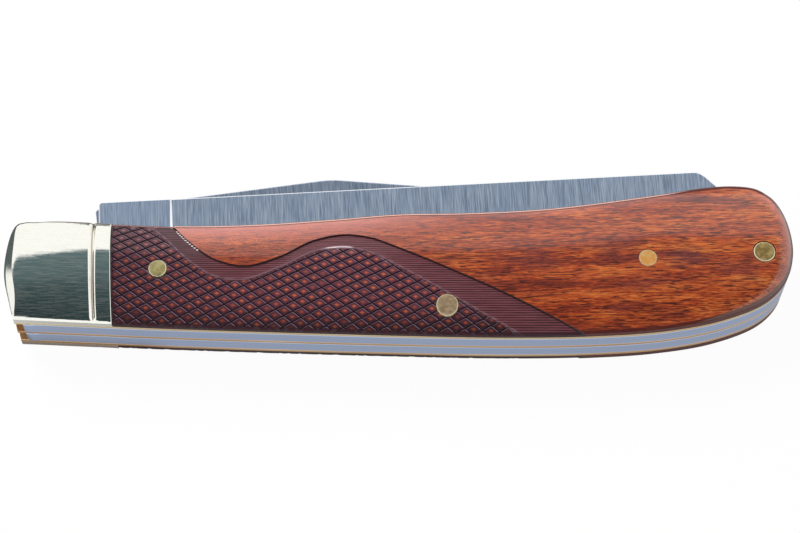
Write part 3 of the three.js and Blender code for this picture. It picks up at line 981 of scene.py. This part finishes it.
def bare_wood(graph, place, edge):
    """Colour of the oiled wood with its painted sheen, and the depth of its pores. edge is the
    distance from its rim.
    """
    x, y = graph.parts(place)
    broad = graph.noise((0.07, 0.6, 0.6), distortion=0.4)
    streaks = graph.noise((0.3, 5.0, 5.0), roughness=0.7, turn=WOOD_TURN)
    fibres = graph.noise((0.9, 9.0, 9.0), detail=2, roughness=0.6, turn=WOOD_TURN)
    figure = broad * 0.3 + streaks * 0.38 + fibres * 0.32 + x.range(*WOOD_DRIFT)
    # Towards the bolster the grain is evened out, a painted sheen that washes it out; specks show
    # there too
    sheen_zone = x.range(*SHEEN_ZONE, smooth=True)
    figure = figure + sheen_zone * (SHEEN_ZONE_TONE - figure)
    plain = figure.ramp(
        (0.39, color(84, 26, 14)),
        (0.45, color(124, 42, 17)),
        (0.5, color(156, 61, 21)),
        (0.55, color(179, 84, 32)),
        (0.62, color(202, 114, 52)),
    )

    stain = graph.vector_math("SUBTRACT", place, (*STAIN_PLACE, 0))
    stain = graph.vector_math("MULTIPLY", stain, (1 / STAIN_REACH[0], 1 / STAIN_REACH[1], 0))
    stain = graph.vector_math("LENGTH", stain) + streaks * 2.4
    stain = stain.range(1.2, 2.2, 0.8, 0.0, smooth=True)
    patches = graph.noise((0.09, 0.3, 0.3), detail=2).range(0.54, 0.74, 0.0, 0.36, smooth=True)
    shaded = graph.mix(graph.math("MAXIMUM", stain, patches), plain, color(88, 42, 46))

    pores = graph.noise((0.55, 6.0, 6.0), detail=1, turn=WOOD_TURN)
    lines = graph.noise((0.16, 8.5, 8.5), detail=1, turn=WOOD_TURN)
    pores = pores.range(0.57, 0.62, smooth=True)
    dashes = graph.math("MAXIMUM", pores, lines.range(0.6, 0.67, 0.0, 0.8, smooth=True))
    specks = graph.noise((2.8, 5.6, 5.6), detail=2).range(0.46, 0.58, 0.0, 1.9)
    shaded = graph.mix(specks * sheen_zone, shaded, color(116, 54, 32))
    oiled = graph.mix(dashes * 0.85, shaded, color(62, 18, 14))

    # A painted pinkish sheen near the rim at the butt, and near the edge towards the bolster
    butt = x.range(*BUTT_SHEEN) * y.range(*LOW_SHEEN)
    rim_sheen = edge.range(*RIM_SHEEN, smooth=True) * butt
    painted_sheen = graph.math("MAXIMUM", rim_sheen, edge.range(*SHEEN_ZONE_EDGE) * sheen_zone)
    return graph.mix(painted_sheen, oiled, color(202, 132, 126)), dashes


def check_phase(graph, place, side):
    """Counts the grooves of one direction, with whole numbers in the grooves."""
    x, y = check_wave(side)
    start = 0.5 - x * CHECK_CENTRE[0] - y * CHECK_CENTRE[1]
    return graph.vector_math("DOT_PRODUCT", place, (x, y, 0)) + start


def checkering(graph, x, y, phases, between):
    """Colour of the diamonds, with painted shade towards the left end and the bottom edge, and
    painted highlights on one wall of each groove and on the tips towards the top. between is 0 in
    each direction's grooves and 1 half way on.
    """
    nearest = graph.math("MINIMUM", *between)
    worn = graph.noise((0.6, 0.8, 0.8), detail=2)
    tip = nearest.range(0.55, 0.9, smooth=True) * worn.range(0.36, 0.58, 0.2, 1.0)
    # Worn tips show orange wood low down and turn into a painted pinkish highlight towards the top
    tip_wear_and_highlight = graph.mix(y.range(*TIP_HIGHLIGHT_TURN), color(176, 88, 54), color(146, 114, 134))
    body = nearest.ramp(
        (0.0, color(30, 4, 10)),
        (0.15, color(50, 14, 24)),
        (0.32, color(78, 40, 50)),
        (0.7, color(98, 48, 55)),
    )
    # Painted shade: darker towards the left end and the bottom edge
    shade = x.range(*CHECK_PAINTED_SHADE) * y.range(*CHECK_LOW_PAINTED_SHADE)
    shown = graph.mix(1.0, graph.mix(tip, body, tip_wear_and_highlight), shade, blend="MULTIPLY")
    # A painted lilac highlight on one wall of each groove
    for phase, beside, share in zip(phases[::-1], between, (0.85, 0.4)):
        wall = graph.math("FRACT", phase).ramp(
            (0.0, BLACK), (0.84, BLACK), (0.9, WHITE), (0.95, WHITE), (1.0, BLACK)
        )
        groove_highlight = beside.range(0.1, 0.3) * wall * share
        shown = graph.mix(groove_highlight, shown, color(138, 116, 136))
    return shown


def carved_wood():
    """Oiled wood with the darker carved panel: the checkering, its border and the ribbed band, with
    painted highlights, glints, sheen and shade.
    """
    graph = new_graph("carved_wood")
    place = graph.place()
    x, y = graph.parts(place)
    band, check, edge, lip = [graph.attribute(name) for name in ("band", "check", "edge", "lip")]
    oiled, dashes = bare_wood(graph, place, edge)
    grain = graph.noise((0.3, 5.5, 5.5), roughness=0.6)
    on_wood = band.range(-0.03, 0.03)
    on_checks = check.range(0.02, -0.04)

    rib = graph.math("DIVIDE", y, RIB_PITCH / 2).swing(1)
    stained = (rib * 0.5 + grain * 0.5).ramp(
        (0.3, color(36, 16, 20)),
        (0.5, color(70, 40, 46)),
        (0.75, color(94, 60, 66)),
    )
    stained = graph.mix(x.range(*BAND_FADE), stained, BAND_LIFT, blend="MULTIPLY")
    phases = [check_phase(graph, place, side) for side in (1, -1)]
    between = [(phase * 2).swing(1) for phase in phases]
    carved = graph.mix(on_checks, stained, checkering(graph, x, y, phases, between))

    # A painted lilac highlight along the lip beside the checkering, beaded at the diamonds' corners
    # and strongest at its crest
    crest_highlight = abs(x - CREST_HIGHLIGHT_PLACE).range(CREST_HIGHLIGHT_REACH, CREST_HIGHLIGHT_REACH / 2, smooth=True)
    beads = between[0].range(0.35, 0.6, 0.45, 1.2)
    border = check.range(0.0, 0.36).swing(0.5) * graph.math("MAXIMUM", beads, crest_highlight * 1.9)
    border_highlight_color = graph.mix(crest_highlight, color(138, 106, 118), color(226, 206, 214))
    carved = graph.mix(border, carved, border_highlight_color)
    surface = graph.mix(on_wood, carved, oiled)

    # A painted shadow along the step down from the bare wood into the panel
    step = band.range(-0.24, 0.06).swing(0.5).range(0.1, 0.35)
    surface = graph.mix(step * 0.85, surface, color(34, 10, 12))
    glint = band.range(-0.28, -0.24) * rib.range(0.5, 0.7) * band.range(-0.06, -0.1)
    glint = glint * graph.math("GREATER_THAN", x, GLINT_REACH[0])
    glint = glint * graph.math("LESS_THAN", x, GLINT_REACH[1])
    surface = graph.mix(glint, surface, color(248, 240, 240))
    # Darker along the outline: partly stain on the edges, partly painted shade on the bevels and
    # walls
    edge_stain_and_shade = graph.mix(on_wood, color(52, 26, 34), color(70, 24, 22))
    surface = graph.mix(edge.range(0.32, 0.5, 0.88, 0.0, smooth=True), surface, edge_stain_and_shade)
    # A painted peach highlight line along the top edge
    top_edge_highlight = lip.range(0.25, 0.6) * on_wood.range(0, 1, 0.35, 1)
    surface = graph.mix(top_edge_highlight, surface, color(234, 176, 156))

    ribs = rib * (1 - on_wood) * (1 - on_checks)
    ribs = graph.bump(ribs, 0.05, Normal=graph.bump(grain, 0.01))
    polish = on_wood.range(0, 1, 0.36, 1.0) * edge.range(0.0, 0.1, 0.15, 1.0)
    return graph.surface(
        Base_Color=surface,
        Roughness=0.42,
        Specular_IOR_Level=0.2,
        Coat_Weight=polish * y.range(*LOW_POLISH),
        Coat_Roughness=0.14,
        Coat_IOR=1.7,
        Normal=graph.bump(dashes, -0.008, Normal=ribs),
    )


# Pieces of the handle


def scale_surface(points):
    return COVER_BASE + crown(points) - carving(points)


def scale_body():
    loops = [SCALE_OUTLINE, *[pin.hole for pin in SCALE_PINS]]
    outer_rim = np.where(SCALE_OUTLINE[:, 1] > 0, TOP_RIM, SCALE_RIM)
    lines = [
        *border_lines(BAND_BORDER, PANEL_WALL_LINES),
        *border_lines(CHECK_BORDER, (*BORDER_LINES, *LIP_LINES)),
    ]
    plain = grid(cover_low, cover_high, CROWN_SPACING)
    plain = plain[distance(plain, SCALE_OUTLINE) > CROWN_ROWS[-1] + CROWN_SPACING / 2]
    plain = plain[np.abs(beyond(plain, BAND_LINE)) > BAND_CLEAR_OF_GRID]
    rows = rows_inside(SCALE_OUTLINE, CROWN_ROWS)
    rows = rows[np.abs(beyond(rows, BAND_LINE)) > BAND_CLEAR_OF_ROWS]
    smooth = np.vstack([plain, rows])
    smooth = smooth[beyond(smooth, CHECK_LINE) > CHECK_CLEAR]
    return slab(
        loops,
        flat(COVER_BASE),
        scale_surface,
        [outer_rim, *[RIM for _ in SCALE_PINS]],
        high_extra=clear_of(np.vstack([carving_points(), smooth]), loops, SCALE_CLEAR),
        high_lines=lines_clear_of(lines, loops, SCALE_CLEAR),
        low_rim=BASE_RIM,
        drop=SCALE_RIM_DROP,
    )


def groove_share(points):
    """How deep the bolster's groove is, from 0 beside it to 1 at its bottom."""
    offset = np.clip((across(points) - GROOVE) / GROOVE_WIDTH, -0.5, 0.5)
    back = points[:, 1] - np.interp(points[:, 0], *BACK_EDGE.T)
    return np.cos(offset * math.pi) ** 2 * smooth_step(back, *GROOVE_RUNOUT)


def bolster_surface(points):
    return COVER_BASE + crown(points) - GROOVE_DEPTH * groove_share(points)


def bolster_body():
    loops = [BOLSTER_OUTLINE, PIVOT.hole, BOLSTER_RIVET.hole]
    at_joint = across(BOLSTER_OUTLINE) > JOINT - JOINT_GAP
    lines = [facet_border()]
    for offset in GROOVE_LINES:
        out = np.full(len(GROOVE_POINTS), GROOVE + offset * GROOVE_WIDTH)
        lines.append(turned(np.column_stack([out, GROOVE_POINTS]), BOLSTER_TILT))
    lines = lines_clear_of(lines, loops, BOLSTER_LINE_CLEAR)
    plain = grid(cover_low - BOLSTER_START, cover_high, BOLSTER_SPACING)
    plain = plain[np.abs(across(plain) - GROOVE) > GROOVE_CLEAR * GROOVE_WIDTH]
    plain = plain[distance(plain, lines[0], closed=False) > FACET_CLEAR]
    plain = plain[distance(plain, BOLSTER_OUTLINE) > BOLSTER_ROWS_WIDTH]
    rows = rows_inside(BOLSTER_OUTLINE, BOLSTER_ROWS)
    return slab(
        loops,
        flat(COVER_BASE),
        bolster_surface,
        [np.where(at_joint, JOINT_RIM, BOLSTER_RIM), FLUSH_RIM, FLUSH_RIM],
        high_extra=clear_of(np.vstack([plain, rows]), loops, BOLSTER_POINT_CLEAR),
        high_lines=lines,
        low_rim=FLUSH_RIM,
    )


def make_covers(silver):
    scale = scale_body()
    plan = scale[0][:, :2]
    above = scale[0][:, 2] > COVER_BASE + EDGE_HEIGHT / 2
    # lip marks the line of the painted highlight along the top edge's bevel
    lip = (np.abs(distance(plan, HANDLE) - TOP_RIM) < ON_TOP_HIGHLIGHT) & above & (plan[:, 1] > 0)
    panel = {
        "band": beyond(plan, BAND_LINE),
        "check": beyond(plan, CHECK_LINE),
        "edge": distance(plan, SCALE_OUTLINE),
        "lip": lip * (1 - smooth_step(plan[:, 0], *TOP_HIGHLIGHT_END)),
    }
    bolster = bolster_body()
    groove = {"groove": groove_share(bolster[0][:, :2])}
    wood = carved_wood()
    make("near_scale", "carved", scale, wood, panel)
    make("near_bolster", "polished", bolster, silver, groove)
    make("far_scale", "carved", mirrored(scale), wood, panel)
    make("far_bolster", "polished", mirrored(bolster), silver, groove)


def pin_surface(pin, dome):
    """The near side's crown over a pin, with a slight dome."""
    def height(points):
        share = np.linalg.norm(points - pin.centre, axis=1) / pin.radius
        level = COVER_BASE + crown(points) + dome * (1 - share**2)
        return np.minimum(level, KNIFE_THICKNESS)
    return height


def pin_body(pin, low, high, rim):
    inner = grid(pin.centre - pin.radius, pin.centre + pin.radius, pin.radius / PIN_RINGS)
    inner = inner[np.linalg.norm(inner - pin.centre, axis=1) < pin.radius - PIN_CLEAR * rim]
    return slab([pin.outline], low, high, [rim], inner, inner, drop=PIN_RIM_DROP)


def rim_highlight_field(pin, body, rim):
    """Where a pin's painted highlight lies: 1 on its outline and 0 inside its bevel."""
    depth = distance(body[0][:, :2], pin.outline)
    return {"rim": np.maximum(1 - depth / (PIN_HIGHLIGHT_REACH * rim), 0)}


def make_through_pin(pin, material, dome, rim):
    near = pin_surface(pin, dome)
    body = pin_body(pin, lambda points: KNIFE_THICKNESS - near(points), near, rim)
    make(pin.node, "ground", body, material, rim_highlight_field(pin, body, rim))


def make_rivets(pin, material, dome, rim):
    """A near cover's rivet and the far cover's copy of it."""
    body = pin_body(pin, flat(pin.low), pin_surface(pin, dome), rim)
    field = rim_highlight_field(pin, body, rim)
    make(pin.node, "ground", body, material, field)
    make(pin.node.replace("near", "far"), "ground", mirrored(body), material, field)


def make_pins(silver):
    olive = pin_brass("olive_brass", color(236, 204, 138), color(186, 152, 92), 0.38)
    pale = pin_brass("pale_brass", color(238, 226, 164), color(212, 192, 130), 0.5)
    tan = pin_brass("tan_brass", color(234, 206, 170), color(204, 174, 138), 0.6)
    bright = pin_brass("bright_brass", color(255, 216, 148), color(255, 196, 118), 0.75)
    make_through_pin(PIVOT, silver, *FLUSH_END)
    make_through_pin(MIDDLE_PIN, tan, *RIVET_END)
    make_through_pin(REAR_PIN, olive, *REAR_END)
    make_rivets(FRONT_RIVET, pale, *RIVET_END)
    make_rivets(REAR_RIVET, bright, *RIVET_END)
    make_rivets(BOLSTER_RIVET, silver, *FLUSH_END)


def make_plates():
    """Liners and back springs, drawn through their faceted outlines."""
    brass = sheet_brass("sheet_brass", color(240, 202, 150), color(206, 158, 108))
    pale = sheet_brass("pale_sheet_brass", color(255, 234, 192), color(240, 204, 150))
    steel = spring_steel()
    plates = (
        ("near_liner", pale, LINER_RIM),
        ("centre_liner", brass, LINER_RIM),
        ("far_liner", brass, LINER_RIM),
        ("near_spring", steel, SPRING_RIM),
        ("far_spring", steel, SPRING_RIM),
    )
    for node, material, rim in plates:
        low, high = node_box(node)
        outline, *holes = section(node)
        loops = [smooth_loop(outline), *[smooth_loop(hole)[::-1] for hole in holes]]
        body = slab(loops, flat(low[2]), flat(high[2]), [rim] * len(loops))
        make(node, "plate", body, material)


# Blades


def plunge_width(height):
    """The width of the step in front of the tang, which grows away from the spine."""
    return PLUNGE_WIDTH + PLUNGE_FLARE * (SPINE_FROM_PIVOT - height)


def plunge_share(local):
    """0 on the tang and 1 on the ground part of the blade, which starts at the step."""
    return np.clip((local[:, 0] - PLUNGE) / plunge_width(local[:, 1]) + 0.5, 0, 1)


def half_thickness(local):
    heights = (-EDGE_FROM_PIVOT, SPINE_FROM_PIVOT)
    ground = np.interp(local[:, 1], heights, (EDGE_THICKNESS / 2, SPINE_THICKNESS / 2))
    share = plunge_share(local)
    return TANG_THICKNESS / 2 * (1 - share) + ground * share


def nick_depth(local, nick):
    """A crescent cut for the fingernail, deepest along its upper wall."""
    x = local[:, 0] - nick
    y = local[:, 1] - NICK_BASE
    depth = NICK_DEPTH - x * x / (2 * NICK_WHEEL) - (NICK_HEIGHT - y) * NICK_SLOPE
    within = (y > 0) & (y < NICK_HEIGHT)
    return np.where(within, np.maximum(depth, 0), 0)


def nick_box(nick):
    """Corners of a rectangle round a nick."""
    reach = math.sqrt(2 * NICK_WHEEL * NICK_DEPTH) + NICK_MARGIN[0]
    low = (nick - reach, NICK_BASE - NICK_MARGIN[1])
    return low, (nick + reach, NICK_BASE + NICK_HEIGHT + NICK_MARGIN[1])


def make_blade(node, tilt, nick, shade, rim_polish_and_highlight):
    """A blade with its grind, step and nail nick. tilt is its angle to the handle, nick how far
    along it the nail nick lies, and rim_polish_and_highlight how smooth its rims are and how strong
    the painted highlight on them is."""
    middle = middle_height(node)
    outline, hole = section(node)
    loops = [smooth_loop(outline), circle((0, 0), (np.ptp(hole, axis=0) / 2).max())[::-1]]

    def near(points):
        return middle + half_thickness(turned(points, -tilt))

    def far(points):
        local = turned(points, -tilt)
        return middle - half_thickness(local) + nick_depth(local, nick)

    rows = np.arange(-EDGE_FROM_PIVOT - 1, SPINE_FROM_PIVOT, PLUNGE_SPACING)
    plunge = [
        turned(np.column_stack([PLUNGE + share * plunge_width(rows), rows]), tilt)
        for share in PLUNGE_LINES
    ]
    plunge = lines_clear_of(plunge, loops, BLADE_LINE_CLEAR)
    plain = grid(*BLADE_REACH, BLADE_SPACING)
    plain = plain[np.abs(plain[:, 0] - PLUNGE) > plunge_width(-EDGE_FROM_PIVOT)]
    low_cut, high_cut = nick_box(nick)
    cut = turned(grid(low_cut, high_cut, NICK_SPACING), tilt)
    beside = np.any((plain < low_cut) | (plain > high_cut), axis=1)
    plain = turned(plain, tilt)
    far_points = clear_of(np.vstack([plain[beside], cut]), loops, BLADE_POINT_CLEAR)
    far_points = np.vstack([far_points, *plunge])
    near_points = clear_of(plain, loops, BLADE_POINT_CLEAR)
    rim = np.where(turned(loops[0], -tilt)[:, 1] > BLADE_RIM_FROM, BLADE_RIM, EDGE_RIM)
    body = slab(loops, far, near, [rim, RIM], far_points, near_points, plunge,
                drop=BLADE_RIM_DROP)
    plan = body[0][:, :2]
    share = plunge_share(turned(plan, -tilt))
    rim_share = np.maximum(1 - distance(plan, loops[0]) / BLADE_RIM, 0)
    # bright marks the step in front of the tang and the rims, which are polished and carry a
    # painted highlight
    finish = {
        "bright": np.maximum(1 - np.abs(2 * share - 1), rim_polish_and_highlight * rim_share),
        "tang": 1 - share,
    }
    material = satin_steel(f"satin_{node}", tilt, shade)
    make(node, "ground", body, material, finish, sharp=15)


# Floor, light and camera


def floor_mirror(graph, place):
    """What polished metal shows of the floor: a white card in darker surroundings, the dark
    beyond the knife, and the shade where its bolster touches the floor."""
    x, y = graph.parts(place)
    reach = graph.vector_math("SUBTRACT", place, CARD_MIDDLE)
    reach = graph.vector_math("DIVIDE", reach, (*CARD_REACH, 1.0))
    outside = graph.vector_math("LENGTH", reach).range(1.0, CARD_FADE, smooth=True)
    card = graph.mix(outside, ROUND_CARD, CARD_WHITE)
    card = graph.mix(y.range(*BEHIND_SIDE) * x.range(*BEHIND_FRONT), card, BEHIND)

    ends = np.interp(CONTACT_FROM, *BACK_EDGE.T)
    slope = (ends[1] - ends[0]) / (CONTACT_FROM[1] - CONTACT_FROM[0])
    base = ends[0] - slope * CONTACT_FROM[0]
    beside = graph.vector_math("DOT_PRODUCT", place, (-slope, 1, 0))
    contact = beside.range(base - CONTACT_REACH[0], base - CONTACT_REACH[1])
    for end in CONTACT_ENDS:
        contact = contact * x.range(*end)
    return graph.mix(contact, card, CONTACT)


def make_floor():
    """White paper, which glows for the camera."""
    mesh = bpy.data.meshes.new("floor")
    corners = FLOOR_REACH * np.array(((-1, -1, 0), (1, -1, 0), (1, 1, 0), (-1, 1, 0)))
    mesh.from_pydata((corners * MM).tolist(), [], [(0, 1, 2, 3)])
    floor = add_object("floor", mesh)
    floor.location.z = -FLOOR_GAP * MM
    graph = new_graph("white_floor")
    path = graph.add("ShaderNodeLightPath")
    paper = graph.add("ShaderNodeBsdfDiffuse", {"Color": PAPER})
    glow = graph.add("ShaderNodeEmission", {"Color": WHITE})
    mirror = graph.add("ShaderNodeEmission", {"Color": floor_mirror(graph, graph.place())})
    share = graph.math("MULTIPLY", path.outputs["Is Camera Ray"], FLOOR_GLOW)
    seen = graph.add("ShaderNodeMixShader", {0: share, 1: paper, 2: glow})
    mixed = graph.add("ShaderNodeMixShader", {0: path.outputs["Is Glossy Ray"], 1: seen, 2: mirror})
    graph.add("ShaderNodeOutputMaterial", {"Surface": mixed})
    mesh.materials.append(graph.owner)


def make_world():
    """A white tent with a dark opening overhead, which polished metal shows."""
    world = bpy.data.worlds.new("studio")
    bpy.context.scene.world = world
    graph = Graph(world)
    path = graph.add("ShaderNodeLightPath")
    direction = graph.add("ShaderNodeTexCoord").outputs["Generated"]
    axis = (0.0, -math.sin(OPENING_LEAN), math.cos(OPENING_LEAN))
    inside_opening = graph.vector_math("DOT_PRODUCT", direction, axis).range(
        math.cos(OPENING_HALF + OPENING_EDGE), math.cos(OPENING_HALF - OPENING_EDGE)
    )
    dark = graph.parts(direction)[1].range(*OPENING_TONES).ramp(
        (0.0, (0.018, 0.034, 0.038, 1)),
        (0.6, (0.042, 0.07, 0.077, 1)),
        (1.0, (0.11, 0.168, 0.18, 1)),
    )
    tent = graph.mix(inside_opening, TENT_WHITE, dark)
    mirror = graph.add("ShaderNodeBackground", {"Color": tent})
    soft = graph.add("ShaderNodeBackground", {"Color": WHITE, "Strength": SOFT_LIGHT})
    white = graph.add("ShaderNodeBackground", {"Color": WHITE})
    lit = graph.add("ShaderNodeMixShader", {0: path.outputs["Is Glossy Ray"], 1: soft, 2: mirror})
    seen = graph.add("ShaderNodeMixShader", {0: path.outputs["Is Camera Ray"], 1: lit, 2: white})
    graph.add("ShaderNodeOutputWorld", {"Surface": seen})


def make_lamp(place, size, power):
    lamp = bpy.data.lights.new("key", "AREA")
    lamp.size = size * MM
    lamp.energy = power
    holder = add_object("key", lamp)
    holder.location = Vector(place) * MM
    holder.rotation_euler = (Vector(AIM) - Vector(place)).to_track_quat("-Z", "Y").to_euler()
    holder.visible_glossy = False


def make_camera():
    data = bpy.data.cameras.new("camera")
    data.lens = CAMERA_LENS
    data.sensor_width = SENSOR
    data.clip_start = CAMERA_NEAREST * MM
    camera = add_object("camera", data)
    back = Vector((0, -math.cos(CAMERA_ELEVATION), math.sin(CAMERA_ELEVATION)))
    camera.location = (Vector(AIM) + CAMERA_DISTANCE * back) * MM
    camera.rotation_euler = back.to_track_quat("Z", "Y").to_euler()
    bpy.context.scene.camera = camera


make_camera()
make_world()
make_lamp(place=(-160, 240, 330), size=260.0, power=2.2)
make_floor()
silver = polished_silver()
make_covers(silver)
make_pins(silver)
make_plates()
make_blade("spey_blade", tilt=math.radians(3.3), nick=75.0, shade=1.0, rim_polish_and_highlight=1.0)
# The clip blade's steel is darkened with painted shade
make_blade("clip_blade", tilt=math.radians(8.3), nick=30.0, shade=0.77, rim_polish_and_highlight=0.2)

bpy.context.scene.view_settings.view_transform = "Standard"
